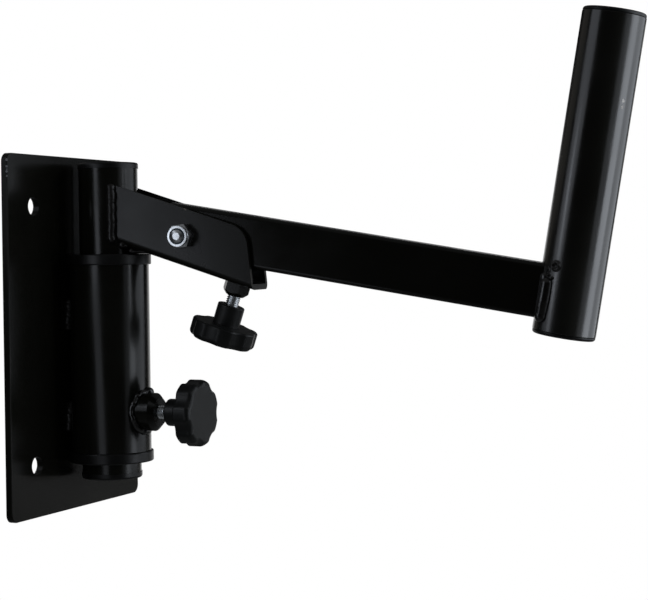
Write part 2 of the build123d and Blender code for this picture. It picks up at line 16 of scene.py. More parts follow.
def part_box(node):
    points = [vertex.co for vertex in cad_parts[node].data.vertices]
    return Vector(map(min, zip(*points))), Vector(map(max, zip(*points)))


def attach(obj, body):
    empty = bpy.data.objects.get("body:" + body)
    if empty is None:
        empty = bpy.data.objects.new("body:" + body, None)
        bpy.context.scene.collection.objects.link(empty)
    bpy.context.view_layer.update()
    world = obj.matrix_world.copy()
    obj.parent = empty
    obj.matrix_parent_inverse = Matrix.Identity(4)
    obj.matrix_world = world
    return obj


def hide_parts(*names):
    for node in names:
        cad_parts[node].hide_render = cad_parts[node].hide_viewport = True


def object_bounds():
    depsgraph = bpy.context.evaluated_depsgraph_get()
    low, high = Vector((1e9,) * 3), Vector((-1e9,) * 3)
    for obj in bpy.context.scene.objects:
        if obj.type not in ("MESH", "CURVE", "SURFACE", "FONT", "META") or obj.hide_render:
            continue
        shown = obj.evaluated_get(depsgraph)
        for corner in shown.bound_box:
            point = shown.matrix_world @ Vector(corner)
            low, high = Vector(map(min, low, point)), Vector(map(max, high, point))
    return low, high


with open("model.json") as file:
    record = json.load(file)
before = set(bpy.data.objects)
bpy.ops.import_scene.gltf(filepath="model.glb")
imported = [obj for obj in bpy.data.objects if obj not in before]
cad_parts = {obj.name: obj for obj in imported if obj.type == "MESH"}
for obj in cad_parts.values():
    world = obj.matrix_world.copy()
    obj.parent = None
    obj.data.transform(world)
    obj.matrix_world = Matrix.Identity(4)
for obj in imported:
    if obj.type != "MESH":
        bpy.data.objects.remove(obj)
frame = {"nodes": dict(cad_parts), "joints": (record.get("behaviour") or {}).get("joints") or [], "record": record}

cad_low, cad_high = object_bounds()
print("CAD box", [round(v, 4) for v in cad_low], [round(v, 4) for v in cad_high])

# %% [markdown]
# The joints of the bracket give the directions that the pieces follow: the upright axis
# of the swivel tube, the bolt that the arm tilts about, and the two screws.
# Reading them here keeps the welds and threads on the model if its sizes change.

# %% Axes read from the joints and from the pole's mount
joints = {joint["name"]: joint for joint in frame["joints"]}
tube_axis = Vector(joints["swing"]["pos_m"])
pivot = Vector(joints["tilt"]["pos_m"])
across = Vector(joints["tilt"]["axis"]).normalized()
near_side = across if across.y < 0 else -across
tilt_hub = Vector(joints["tilt_knob_turn"]["pos_m"])
tilt_screw_up = Vector(joints["tilt_knob_turn"]["axis"]).normalized()
lock_hub = Vector(joints["lock_knob_turn"]["pos_m"])
pole_mount = next(mount for mount in frame["record"]["mounts"] if mount["name"] == "pole_socket_seat")
pole_top = Vector(pole_mount["pos_m"])
pole_up = Vector(pole_mount["axis"]).normalized()
arm_out = pole_up.cross(across).normalized()
if arm_out.x < 0:
    arm_out.negate()
level_out = Vector((arm_out.x, arm_out.y, 0)).normalized()
print("arm along", [round(v, 3) for v in arm_out], "pole along", [round(v, 3) for v in pole_up])

# %% Sizes read from the CAD pieces
def half_width(node):
    """Half of a CAD piece's width, which is the radius of a round upright piece."""
    low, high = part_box(node)
    return (high.y - low.y) / 2


def span(node, origin, axis):
    """How far a CAD piece reaches along an axis, from a point on it."""
    reaches = [(vertex.co - origin).dot(axis) for vertex in frame["nodes"][node].data.vertices]
    return min(reaches), max(reaches)


plate_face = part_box("wall_plate")[1].x
sleeve_radius = half_width("outer_sleeve")
# the pole is cut from the same 35 mm tube as the swivel tube
tube_radius = half_width("swivel_tube")
flange_face = span("tilt_channel", pivot, near_side)[1]
print("radii", round(tube_radius, 5), round(sleeve_radius, 5), "flange at", round(flange_face, 5))

# %% [markdown]
# The photograph was taken from the side and a little from the front, level with the
# bracket, with a longish lens. A camera can be aimed with a Track To constraint, but its
# turn and roll were measured, so its three axes are written straight into its matrix.

# %% Camera axes
heading, climb, roll = (math.radians(angle) for angle in (24.198, 0.454, -0.797))
back = Vector((math.sin(heading) * math.cos(climb), -math.cos(heading) * math.cos(climb), math.sin(climb)))
level_right = Vector((math.cos(heading), math.sin(heading), 0))
level_up = back.cross(level_right)
right = level_right * math.cos(roll) + level_up * math.sin(roll)
up = level_up * math.cos(roll) - level_right * math.sin(roll)
print("camera looks along", [round(-v, 3) for v in back])

# %% Camera
image_width, image_height = 648, 600
focal_pixels, optical_row = 1725.2, 265.2
sensor_width = 36.0
camera_place = (0.5651, -0.8845, 0.0466)
camera_data = bpy.data.cameras.new("photo_camera")
camera_data.sensor_fit = "HORIZONTAL"
camera_data.sensor_width = sensor_width
camera_data.lens = sensor_width * focal_pixels / image_width
camera_data.shift_y = (optical_row - image_height / 2) / image_width
camera_data.clip_start = 0.01
camera = bpy.data.objects.new("photo_camera", camera_data)
aim = Matrix((right, up, back)).transposed().to_4x4()
camera.matrix_world = Matrix.Translation(camera_place) @ aim
bpy.context.scene.collection.objects.link(camera)
bpy.context.scene.camera = camera
print("lens", round(camera_data.lens, 2), "mm, shift", round(camera_data.shift_y, 4))

# %% [markdown]
# Colours are written as the hex values that a paint program shows. Cycles works in
# linear light, so one function turns the first into the second.
# A second function adds a node, sets it and links it, so that a material reads as a list.

# %% Colour and node helpers
def linear(hex_code):
    """Turns an sRGB hex colour into linear red, green, blue and alpha."""
    channels = [int(hex_code[i : i + 2], 16) / 255 for i in (1, 3, 5)]
    return [c / 12.92 if c <= 0.04045 else ((c + 0.055) / 1.055) ** 2.4 for c in channels] + [1.0]


def add(tree, kind, settings=None, links=None):
    """Adds one node. A setting is a property or an input's value, a link is where an input comes from."""
    node = tree.nodes.new(kind)
    for key, value in (settings or {}).items():
        if isinstance(key, str) and hasattr(node, key):
            setattr(node, key, value)
        else:
            node.inputs[key].default_value = value
    for key, source in (links or {}).items():
        # a node stands for its first output
        socket = source if isinstance(source, bpy.types.NodeSocket) else source.outputs[0]
        tree.links.new(socket, node.inputs[key])
    return node


# the colour sockets of a Mix node share their names with others, so they go by number
FIRST_COLOUR, SECOND_COLOUR, MIXED_COLOUR = 6, 7, 2
print("middle grey as linear light", [round(c, 3) for c in linear("#808080")])

# %% [markdown]
# A black object shows little colour of its own: what the eye reads is the reflection of
# the room. In the photograph a white sheet stands behind the bracket, pale walls stand to
# the left and right, and the room in front is dark. A photograph of a room could light the
# scene, but a few rules are enough: the world gives the sheet and the room, lamps the walls.

# %% World: where the white sheet and the dim room are
world = bpy.data.worlds.new("studio")
bpy.context.scene.world = world
world.use_nodes = True
sky = world.node_tree
sky.nodes.clear()
toward = add(sky, "ShaderNodeTexCoord").outputs["Generated"]
height = add(sky, "ShaderNodeSeparateXYZ", {}, {0: toward}).outputs["Z"]
along_view = {"operation": "DOT_PRODUCT", 1: -back}
behind = add(sky, "ShaderNodeVectorMath", along_view, {0: toward}).outputs["Value"]
smooth = {"interpolation_type": "SMOOTHSTEP"}
# the cosine of the angle from straight behind, at the sheet's edge and where it is full
sides = smooth | {"From Min": 0.78, "From Max": 0.97}
wide = add(sky, "ShaderNodeMapRange", sides, {"Value": behind})
# the sheet fades out a little above the horizon
top = smooth | {"From Min": 0.04, "From Max": 0.16, "To Min": 1.0, "To Max": 0.0}
tall = add(sky, "ShaderNodeMapRange", top, {"Value": height})
sheet = add(sky, "ShaderNodeMath", {"operation": "MULTIPLY"}, {0: wide, 1: tall})
# the room is nearly black at eye level and dim grey overhead
ceiling = smooth | {"From Min": 0.15, "From Max": 0.8, "To Min": 0.012, "To Max": 0.12}
room_level = add(sky, "ShaderNodeMapRange", ceiling, {"Value": height})
room = add(sky, "ShaderNodeBackground", {"Color": linear("#f6f8fb")}, {"Strength": room_level})
print("sheet and room of", len(sky.nodes), "nodes")

# %% World: what each kind of ray meets
white = add(sky, "ShaderNodeBackground", {"Color": (1, 1, 1, 1), "Strength": 1.0})
rays = add(sky, "ShaderNodeLightPath").outputs
glossy, through = rays["Is Glossy Ray"], rays["Is Transmission Ray"]
mirror = add(sky, "ShaderNodeMath", {"operation": "MAXIMUM"}, {0: glossy, 1: through})
mirrored = add(sky, "ShaderNodeMath", {"operation": "MULTIPLY"}, {0: sheet, 1: mirror})
white_share = add(sky, "ShaderNodeMath", {"operation": "MAXIMUM"}, {0: rays["Is Camera Ray"], 1: mirrored})
seen = add(sky, "ShaderNodeMixShader", {}, {0: white_share, 1: room, 2: white})
add(sky, "ShaderNodeOutputWorld", {}, {"Surface": seen})
bpy.context.scene.view_settings.view_transform = "Standard"
print("world of", len(sky.nodes), "nodes")

# %% [markdown]
# Each stripe of light on the round tubes is the mirror image of something pale near the
# bracket. It could be painted into the world too, but a thing close by moves across a tube
# as its distance says, so each one is a soft box in its own place: a slim leaning pair in
# front, two on the left, and a wall on the right in three strips of different brightness.

# %% Soft box
def soft_box(name, place, shines, size, radiance, tint, lean=0.0):
    """A rectangular lamp that shines along a level direction. Radiance 1 looks white in a mirror."""
    lamp = bpy.data.lights.new(name, "AREA")
    lamp.shape = "RECTANGLE"
    lamp.size, lamp.size_y = size
    lamp.energy = radiance * math.pi * lamp.size * lamp.size_y
    lamp.color = linear(tint)[:3]
    facing = -Vector(shines).normalized()
    side = Vector((0, 0, 1)).cross(facing)
    turned = Matrix((side, facing.cross(side), facing)).transposed().to_4x4()
    holder = bpy.data.objects.new(name, lamp)
    holder.matrix_world = Matrix.Translation(place) @ turned @ Matrix.Rotation(math.radians(lean), 4, "Z")
    holder.visible_camera = False
    bpy.context.scene.collection.objects.link(holder)
    print(name, "shines with", round(lamp.energy, 3), "W")


# %% Soft boxes round the bracket
daylight, window_light, lamp_light = "#eef4ff", "#f0f6ff", "#f4efe6"
slim_lean = 31
soft_box("slim_box_upper", (-0.0706, -0.303, 0.110), (0, 1, 0), (0.075, 0.21), 1.55, daylight, slim_lean)
soft_box("slim_box_lower", (0.0356, -0.303, -0.070), (0, 1, 0), (0.085, 0.21), 0.72, daylight, slim_lean)
soft_box("left_wall", (-0.525, -0.639, 0.455), (0.83, 0.668, 0), (0.70, 0.75), 0.55, daylight)
soft_box("left_wall_far", (-0.80, 0.25, 0.35), (1, 0, 0), (0.80, 0.80), 0.10, lamp_light)
wall_x, wall_middle, wall_height = 0.745, 0.19, 0.78
wall_strips = [("edge", -0.13, 0.20, 0.30), ("near", 0.0875, 0.225, 2.4), ("far", 0.60, 0.80, 1.1)]
for strip, strip_y, strip_width, radiance in wall_strips:
    strip_place, strip_size = (wall_x, strip_y, wall_middle), (strip_width, wall_height)
    soft_box("right_wall_" + strip, strip_place, (-1, 0, 0), strip_size, radiance, window_light)
print("right wall in", len(wall_strips), "strips")

# %% [markdown]
# The bracket hangs on a wall, so it never touches the ground. The floor lies well under
# it, a roll of white paper that takes the soft shade of the bracket. A curved backdrop
# would do as well, but the world is already white behind it, so one flat sheet is enough.

# %% Floor sheet
floor_drop, floor_half = 0.45, 3.0
floor_level = cad_low.z - floor_drop
unit_corners = ((-1, -1), (1, -1), (1, 1), (-1, 1))
floor_corners = [(x * floor_half, y * floor_half, floor_level) for x, y in unit_corners]
floor_mesh = bpy.data.meshes.new("studio_floor")
floor_mesh.from_pydata(floor_corners, [], [(0, 1, 2, 3)])
floor = bpy.data.objects.new("studio_floor", floor_mesh)
bpy.context.scene.collection.objects.link(floor)
print("floor at", round(floor_level, 3))

# %% [markdown]
# White paper under plain light renders grey, so to the camera a share of it glows, less
# under the bracket, where the shade lies. To a mirror it glows only far behind the bracket,
# where the white sheet begins. Light that bounces off it sees plain matt paper.

# %% White paper of the floor
floor_paper = bpy.data.materials.new("matt_white_paper_roll")
floor_paper.use_nodes = True
paper = floor_paper.node_tree
paper.nodes.clear()
spread = add(paper, "ShaderNodeTexCoord").outputs["Object"]
under = ((cad_low.x + cad_high.x) / 2, (cad_low.y + cad_high.y) / 2, floor_level)
reach = add(paper, "ShaderNodeVectorMath", {"operation": "DISTANCE", 1: under}, {0: spread}).outputs["Value"]
shade_ring = {"From Min": 0.3, "From Max": 1.5, "To Min": 0.65, "To Max": 1.0}
to_camera = add(paper, "ShaderNodeMapRange", shade_ring, {"Value": reach})
depth = add(paper, "ShaderNodeVectorMath", along_view, {0: spread}).outputs["Value"]
to_mirror = add(paper, "ShaderNodeMapRange", {"From Min": 1.2, "From Max": 2.2}, {"Value": depth})
paper_rays = add(paper, "ShaderNodeLightPath").outputs
straight = paper_rays["Is Camera Ray"]
glossy, through = paper_rays["Is Glossy Ray"], paper_rays["Is Transmission Ray"]
paper_mirror = add(paper, "ShaderNodeMath", {"operation": "MAXIMUM"}, {0: glossy, 1: through})
mirror_share = add(paper, "ShaderNodeMath", {"operation": "MULTIPLY"}, {0: to_mirror, 1: paper_mirror})
camera_share = add(paper, "ShaderNodeMath", {"operation": "MULTIPLY"}, {0: to_camera, 1: straight})
glow_share = add(paper, "ShaderNodeMath", {"operation": "MAXIMUM"}, {0: camera_share, 1: mirror_share})
matt = add(paper, "ShaderNodeBsdfDiffuse", {"Color": linear("#b4b4b2")})
glow = add(paper, "ShaderNodeEmission", {"Color": (1, 1, 1, 1), "Strength": 1.0})
paper_mix = add(paper, "ShaderNodeMixShader", {}, {0: glow_share, 1: matt, 2: glow})
add(paper, "ShaderNodeOutputMaterial", {}, {"Surface": paper_mix})
floor_mesh.materials.append(floor_paper)
print("paper of", len(paper.nodes), "nodes")

# %% [markdown]
# Where a bracket is knocked, the paint chips off and pale primer or steel shows. A chip
# could be a dab of paint in an image, but no image is used here. The distance from its
# middle tells bare from painted, and a fine noise added to that distance frays its outline.

# %% A chip in the paint
fray_size = 0.0008


def chip_mask(tree, place, centre, size):
    """The bare share of the surface round one chip: 1 in its middle, 0 outside its frayed outline."""
    from_centre = {"operation": "DISTANCE", 1: centre}
    reach = add(tree, "ShaderNodeVectorMath", from_centre, {0: place}).outputs["Value"]
    ragged = add(tree, "ShaderNodeTexNoise", {"Scale": 1 / fray_size, "Detail": 3.0}, {"Vector": place})
    edge = add(tree, "ShaderNodeMath", {"operation": "MULTIPLY_ADD", 1: size, 2: -size / 2}, {0: ragged})
    frayed = add(tree, "ShaderNodeMath", {"operation": "ADD"}, {0: reach, 1: edge})
    rim = {"From Min": size * 0.75, "From Max": size * 1.05, "To Min": 1.0, "To Max": 0.0}
    return add(tree, "ShaderNodeMapRange", rim, {"Value": frayed})


print("chips frayed by grains of", fray_size * 1000, "mm")

# %% [markdown]
# The steel is finished in a semi-gloss black stoving paint. It flows out smooth but keeps
# a faint orange peel, and its gloss changes a little from patch to patch. One flat colour
# would look like plastic, so noise at the real sizes of peel and patches moves the gloss.

# %% Painted steel
peel_size, patch_size = 0.0015, 0.035


def painted_steel(name, tone, gloss, chips=(), ior=1.4):
    """Semi-gloss stoved paint on steel: deep black, sharp soft-box reflections, a faint orange peel."""
    material = bpy.data.materials.new(name)
    material.use_nodes = True
    tree = material.node_tree
    tree.nodes.clear()
    place = add(tree, "ShaderNodeTexCoord").outputs["Object"]
    peel = add(tree, "ShaderNodeTexNoise", {"Scale": 1 / peel_size, "Detail": 2.0}, {"Vector": place})
    patches = add(tree, "ShaderNodeTexNoise", {"Scale": 1 / patch_size, "Detail": 3.0}, {"Vector": place})
    sheen = {"From Min": 0.3, "From Max": 0.7, "To Min": gloss - 0.04, "To Max": gloss + 0.05}
    rough = add(tree, "ShaderNodeMapRange", sheen, {"Value": patches}).outputs[0]
    blacks = {"data_type": "RGBA", FIRST_COLOUR: linear(tone[0]), SECOND_COLOUR: linear(tone[1])}
    shade = add(tree, "ShaderNodeMix", blacks, {"Factor": patches}).outputs[MIXED_COLOUR]
    for centre, size, colour in chips:
        bare = chip_mask(tree, place, centre, size)
        steel = {"data_type": "RGBA", SECOND_COLOUR: linear(colour)}
        shade = add(tree, "ShaderNodeMix", steel, {"Factor": bare, FIRST_COLOUR: shade}).outputs[MIXED_COLOUR]
        rough = add(tree, "ShaderNodeMix", {"B": 0.55}, {"Factor": bare, "A": rough}).outputs[0]
    bump = add(tree, "ShaderNodeBump", {"Strength": 0.06, "Distance": 0.0004}, {"Height": peel})
    coat = {"Base Color": shade, "Roughness": rough, "Normal": bump}
    paint = add(tree, "ShaderNodeBsdfPrincipled", {"IOR": ior}, coat)
    add(tree, "ShaderNodeOutputMaterial", {}, {"Surface": paint})
    return material


print("orange peel of", peel_size * 1000, "mm, patches of", patch_size * 1000, "mm")

# %% [markdown]
# This bracket has chips at the plate's upper corner, above the bolt on the channel and on
# the pole. Random wear would put them anywhere. These were seen, so each one is measured
# from an edge or an axis of its piece, and the paints are then mixed with them.

# %% Where the chips are
def pole_outward(turn):
    """A direction out of the pole, in degrees from the arm's side toward the near side."""
    return near_side * math.sin(math.radians(turn)) - arm_out * math.cos(math.radians(turn))


pole_chips = []
for down, turn, size, colour in ((0.04644, 142.28, 0.0011, "#c9c6bf"), (0.04966, 142.20, 0.0009, "#b4b0a8")):
    pole_chips.append((pole_top - pole_up * down + pole_outward(turn) * tube_radius, size, colour))
chip_rise, chip_back = 0.01676, 0.00068
above_bolt = pivot + near_side * flange_face + pole_up * chip_rise - arm_out * chip_back
channel_chips = [(above_bolt, 0.0016, "#8d8379")]
plate_corner = Vector((plate_face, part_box("wall_plate")[0].y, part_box("wall_plate")[1].z))
plate_chips = []
for below, inward, size, colour in (
    (0.0026, 0.0011, 0.0006, "#5c5e5e"),
    (0.0040, 0.0003, 0.0008, "#97979a"),
    (0.0079, 0.0003, 0.0007, "#8c8c90"),
    (0.0095, 0.0002, 0.0005, "#6f6f72"),
    (0.0107, 0.0003, 0.0007, "#8a8a8e"),
    (0.0132, 0.0002, 0.0006, "#7a7a7c"),
):
    plate_chips.append((plate_corner - Vector((inward, 0, below)), size, colour))
print("chips on pole, channel and plate", len(pole_chips), len(channel_chips), len(plate_chips))

# %% Paints of the bracket
paint_tone = ("#12120e", "#181813")
stoved_black = painted_steel("stoved_black_paint", paint_tone, 0.20)
# the pole mirrors the room most clearly, the channel more softly, the plate most weakly
stoved_black_pole = painted_steel("stoved_black_paint_pole", paint_tone, 0.20, pole_chips, ior=1.8)
stoved_black_channel = painted_steel("stoved_black_paint_channel", paint_tone, 0.31, channel_chips)
stoved_black_plate = painted_steel("stoved_black_paint_plate", paint_tone, 0.22, plate_chips, ior=1.28)
# over clean weld metal the paint is glossy and brownish, over weld scale it is dull
weld_paint = painted_steel("stoved_paint_over_weld", ("#080706", "#12100d"), 0.20, ior=1.7)
scaled_weld_paint = painted_steel("stoved_paint_over_weld_scale", ("#0d0b09", "#171410"), 0.38, ior=1.5)
print("plate paint of", len(stoved_black_plate.node_tree.nodes), "nodes")

# %% [markdown]
# The knobs, bushes and caps are moulded plastic. The mould is spark eroded, which leaves a
# fine even grain that scatters the light, so plastic beside paint looks greyer and softer.
# Cells of a Voronoi texture stand for the pits of that grain.

# %% Moulded plastic
handled_size = 0.012


def moulded_plastic(name, tone, roughness, grain, depth, ior=1.42):
    """Moulded plastic from an eroded mould: a fine even grain, a broad soft sheen, no sharp reflection."""
    material = bpy.data.materials.new(name)
    material.use_nodes = True
    tree = material.node_tree
    tree.nodes.clear()
    place = add(tree, "ShaderNodeTexCoord").outputs["Object"]
    pits = add(tree, "ShaderNodeTexVoronoi", {"Scale": 1 / grain}, {"Vector": place}).outputs["Distance"]
    handled = add(tree, "ShaderNodeTexNoise", {"Scale": 1 / handled_size, "Detail": 3.0}, {"Vector": place})
    greys = {"data_type": "RGBA", FIRST_COLOUR: linear(tone[0]), SECOND_COLOUR: linear(tone[1])}
    shade = add(tree, "ShaderNodeMix", greys, {"Factor": handled}).outputs[MIXED_COLOUR]
    sheen = {"From Min": 0.3, "From Max": 0.7, "To Min": roughness - 0.06, "To Max": roughness + 0.06}
    rough = add(tree, "ShaderNodeMapRange", sheen, {"Value": handled})
    bump = add(tree, "ShaderNodeBump", {"Strength": depth, "Distance": 0.0001}, {"Height": pits})
    skin = {"Base Color": shade, "Roughness": rough, "Normal": bump}
    plastic = add(tree, "ShaderNodeBsdfPrincipled", {"IOR": ior}, skin)
    add(tree, "ShaderNodeOutputMaterial", {}, {"Surface": plastic})
    return material


print("patches from handling of", handled_size * 1000, "mm")

# %% Plastics of the bracket
# the real grain is about 0.1 mm, drawn at 0.5 and 0.6 mm so that it shows at all
knob_grain, cap_grain = 0.0005, 0.0006
knob_tone = ("#191a19", "#202120")
knob_nylon = moulded_plastic("moulded_glass_filled_nylon", knob_tone, 0.38, knob_grain, 0.22, ior=1.36)
bush_acetal = moulded_plastic("moulded_acetal_bush", ("#0d0d0c", "#131312"), 0.36, cap_grain, 0.12)
cap_polythene = moulded_plastic("moulded_polythene_cap", ("#0d0d0c", "#131312"), 0.36, cap_grain, 0.12)
ring_nylon = moulded_plastic("moulded_nylon_ring", ("#3a4a52", "#4d5d64"), 0.4, cap_grain, 0.1)
print("plastics", [plastic.name for plastic in (knob_nylon, bush_acetal, cap_polythene, ring_nylon)])

# %% [markdown]
# Screws and nuts are steel with bright zinc plating: a slightly blue, silky metal.
# A mirror finish would look like chrome, so a fine bloom makes its roughness and its
# brightness uneven, as tumbling in the plating drum does.

# %% Zinc plated steel
zinc = bpy.data.materials.new("bright_zinc_plated_steel")
zinc.use_nodes = True
plating = zinc.node_tree
plating.nodes.clear()
bloom_size = 0.002
zinc_place = add(plating, "ShaderNodeTexCoord").outputs["Object"]
bloom = add(plating, "ShaderNodeTexNoise", {"Scale": 1 / bloom_size, "Detail": 4.0}, {"Vector": zinc_place})
zinc_blues = {"data_type": "RGBA", FIRST_COLOUR: linear("#e0e5e8"), SECOND_COLOUR: linear("#f4f6f8")}
zinc_shade = add(plating, "ShaderNodeMix", zinc_blues, {"Factor": bloom}).outputs[MIXED_COLOUR]
zinc_sheen = {"From Min": 0.3, "From Max": 0.7, "To Min": 0.20, "To Max": 0.32}
zinc_rough = add(plating, "ShaderNodeMapRange", zinc_sheen, {"Value": bloom})
zinc_bump = add(plating, "ShaderNodeBump", {"Strength": 0.08, "Distance": 0.0001}, {"Height": bloom})
zinc_skin = {"Base Color": zinc_shade, "Roughness": zinc_rough, "Normal": zinc_bump}
# a metal: the reflection takes the metal's own colour and there is no other colour
zinc_metal = add(plating, "ShaderNodeBsdfPrincipled", {"Metallic": 1.0}, zinc_skin)
add(plating, "ShaderNodeOutputMaterial", {}, {"Surface": zinc_metal})
print("zinc of", len(plating.nodes), "nodes")

# %% [markdown]
# Most pieces of the bracket are tube, plate and mouldings whose shape the CAD model already
# has. They could be modelled again here, but they would only drift from it, so they keep
# their meshes and get their finish in the material slots.

# %% Finishes on the CAD pieces
# the welds and studs that get a new form below are listed too, so that no piece stays bare
finishes = {
    stoved_black: ["outer_sleeve", "lock_boss", "swivel_tube", "tilt_nut", "arm_tube"],
    stoved_black_pole: ["speaker_pole"],
    stoved_black_channel: ["tilt_channel"],
    stoved_black_plate: ["wall_plate"],
    weld_paint: ["sleeve_welds", "boss_weld", "channel_welds", "pole_weld"],
    knob_nylon: ["tilt_knob", "lock_knob"],
    bush_acetal: ["upper_bush", "lower_bush"],
    cap_polythene: ["tube_top_cap", "tube_bottom_cap", "pole_top_cap", "pole_bottom_cap"],
    ring_nylon: ["nylon_ring"],
    zinc: ["pivot_bolt", "pivot_nut", "tilt_stud", "lock_stud"],
}
for finish, nodes in finishes.items():
    for node in nodes:
        for slot in frame["nodes"][node].material_slots:
            slot.material = finish
print("finished", sum(len(nodes) for nodes in finishes.values()), "CAD pieces")

# %% [markdown]
# A weld bead is a row of frozen puddles: each one laps over the last, so the bead looks like
# a fallen stack of coins, a little uneven, with rounded ends. It could be sculpted, but it
# follows a path and repeats by a rule, which is what Geometry Nodes are for: the path is
# cut into short steps and a round profile is swept along it with a radius that ripples.

# %% Weld bead tree: named inputs
def inlet(tree, name, kind, value=None):
    """Adds a named input to a Geometry Nodes tree."""
    socket = tree.interface.new_socket(name, in_out="INPUT", socket_type="NodeSocket" + kind)
    if value is not None:
        socket.default_value = value


bead = bpy.data.node_groups.new("weld_bead", "GeometryNodeTree")
inlet(bead, "Path", "Geometry")
inlet(bead, "Radius", "Float", 0.002)
inlet(bead, "Ripple Pitch", "Float", 0.0018)
inlet(bead, "Ripple Depth", "Float", 0.14)
inlet(bead, "Unevenness", "Float", 0.3)
inlet(bead, "Wander", "Float", 0.0006)
inlet(bead, "Sway Length", "Float", 0.005)
inlet(bead, "End Length", "Float", 0.002)
inlet(bead, "Seed", "Float", 1.0)
inlet(bead, "Finish", "Material")
bead.interface.new_socket("Bead", in_out="OUTPUT", socket_type="NodeSocketGeometry")
given = add(bead, "NodeGroupInput").outputs
print("weld bead inputs", [socket.name for socket in given if socket.name])

# %% [markdown]
# The distance along the path, counted in puddles, runs from 0 to 1 over each of them. A power
# of that share makes the radius fall slowly at first and then fast, and the next puddle
# starts at full size again: a lap, where a sine wave would give a string of pearls.

# %% Weld bead tree: puddles that lap
steps_per_puddle, lap_power = 8.0, 1.6
pitch = given["Ripple Pitch"]
step = add(bead, "ShaderNodeMath", {"operation": "DIVIDE", 1: steps_per_puddle}, {0: pitch})
steps = {"Curve": given["Path"], "Length": step}
path = add(bead, "GeometryNodeResampleCurve", {"mode": "LENGTH"}, steps)
along = add(bead, "GeometryNodeSplineParameter").outputs["Length"]
puddle = add(bead, "ShaderNodeMath", {"operation": "DIVIDE"}, {0: along, 1: pitch})
lap = add(bead, "ShaderNodeMath", {"operation": "FRACT"}, {0: puddle})
fall = add(bead, "ShaderNodeMath", {"operation": "POWER", 1: lap_power}, {0: lap})
drop = add(bead, "ShaderNodeMath", {"operation": "MULTIPLY"}, {0: fall, 1: given["Ripple Depth"]})
ripple = add(bead, "ShaderNodeMath", {"operation": "SUBTRACT", 0: 1.0}, {1: drop})
print("puddles cut into", steps_per_puddle, "steps")

# %% [markdown]
# A hand never moves evenly. One noise gives both its faults: its grey value makes the bead
# thicker and thinner, and its colour, read as a direction, moves the path aside. The seed is
# the fourth coordinate of the noise, so each bead gets its own hand and keeps it.

# %% Weld bead tree: the welder's hand
pace = add(bead, "ShaderNodeMath", {"operation": "DIVIDE", 0: 1.0}, {1: given["Sway Length"]})
hand = add(bead, "ShaderNodeTexNoise", {"noise_dimensions": "4D"}, {"W": given["Seed"], "Scale": pace})
swing = add(bead, "ShaderNodeMath", {"operation": "SUBTRACT", 1: 0.5}, {0: hand.outputs["Fac"]})
about_one = {"operation": "MULTIPLY_ADD", 2: 1.0}
uneven = add(bead, "ShaderNodeMath", about_one, {0: swing, 1: given["Unevenness"]})
middle = {"operation": "SUBTRACT", 1: (0.5, 0.5, 0.5)}
sway = add(bead, "ShaderNodeVectorMath", middle, {0: hand.outputs["Color"]})
drift = add(bead, "ShaderNodeVectorMath", {"operation": "SCALE"}, {0: sway, "Scale": given["Wander"]})
line = add(bead, "GeometryNodeSetPosition", {}, {0: path, "Offset": drift})
print("tree so far", len(bead.nodes), "nodes")

# %% [markdown]
# At each end the molten metal draws itself round. The radius there follows a quarter circle,
# the square root of s times (2 - s), where s is the share of the end that is already behind.

# %% Weld bead tree: rounded ends
whole = add(bead, "GeometryNodeSplineLength").outputs["Length"]
left = add(bead, "ShaderNodeMath", {"operation": "SUBTRACT"}, {0: whole, 1: along})
nearest = add(bead, "ShaderNodeMath", {"operation": "MINIMUM"}, {0: along, 1: left})
# a hair more than nothing, so that the caps keep an area
beyond = add(bead, "ShaderNodeMath", {"operation": "ADD", 1: 0.00002}, {0: nearest})
clamped = {"operation": "DIVIDE", "use_clamp": True}
share = add(bead, "ShaderNodeMath", clamped, {0: beyond, 1: given["End Length"]})
rest = add(bead, "ShaderNodeMath", {"operation": "SUBTRACT", 0: 2.0}, {1: share})
dome = add(bead, "ShaderNodeMath", {"operation": "MULTIPLY"}, {0: share, 1: rest})
end = add(bead, "ShaderNodeMath", {"operation": "SQRT"}, {0: dome})
print("tree so far", len(bead.nodes), "nodes")

# %% Weld bead tree: the sweep and its paint
thick = add(bead, "ShaderNodeMath", {"operation": "MULTIPLY"}, {0: ripple, 1: uneven})
rounded = add(bead, "ShaderNodeMath", {"operation": "MULTIPLY"}, {0: thick, 1: end})
radius = add(bead, "ShaderNodeMath", {"operation": "MULTIPLY"}, {0: rounded, 1: given["Radius"]})
ring = add(bead, "GeometryNodeCurvePrimitiveCircle", {"Resolution": 16, "Radius": 1.0})
sweep = {"Curve": line, "Profile Curve": ring, "Scale": radius}
swept = add(bead, "GeometryNodeCurveToMesh", {"Fill Caps": True}, sweep)
soft = add(bead, "GeometryNodeSetShadeSmooth", {}, {0: swept})
real = add(bead, "GeometryNodeRealizeInstances", {}, {0: soft})
coated = add(bead, "GeometryNodeSetMaterial", {}, {"Geometry": real, "Material": given["Finish"]})
add(bead, "NodeGroupOutput", {}, {0: coated})
print("weld bead tree of", len(bead.nodes), "nodes")

# %% [markdown]
# A modifier is live: it would be worked out again in every file that the piece goes to. So
# each tree runs once, its result is kept as a plain mesh, and the modifier is removed. The
# piece is then hung on the body it rides on, and the CAD pieces it stands for are hidden.

# %% From a path and a tree to a piece
def hand_over(name, mesh, body, slot, *nodes):
    """Makes a mesh a piece of the bracket that rides on a body, in the place of CAD nodes if any."""
    mesh.name = name
    piece = bpy.data.objects.new(name, mesh)
    bpy.context.scene.collection.objects.link(piece)
    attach(piece, body)
    if nodes:
        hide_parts(*nodes)
    print(name, "has", len(mesh.vertices), "points and", len(mesh.polygons), "faces")
    return piece


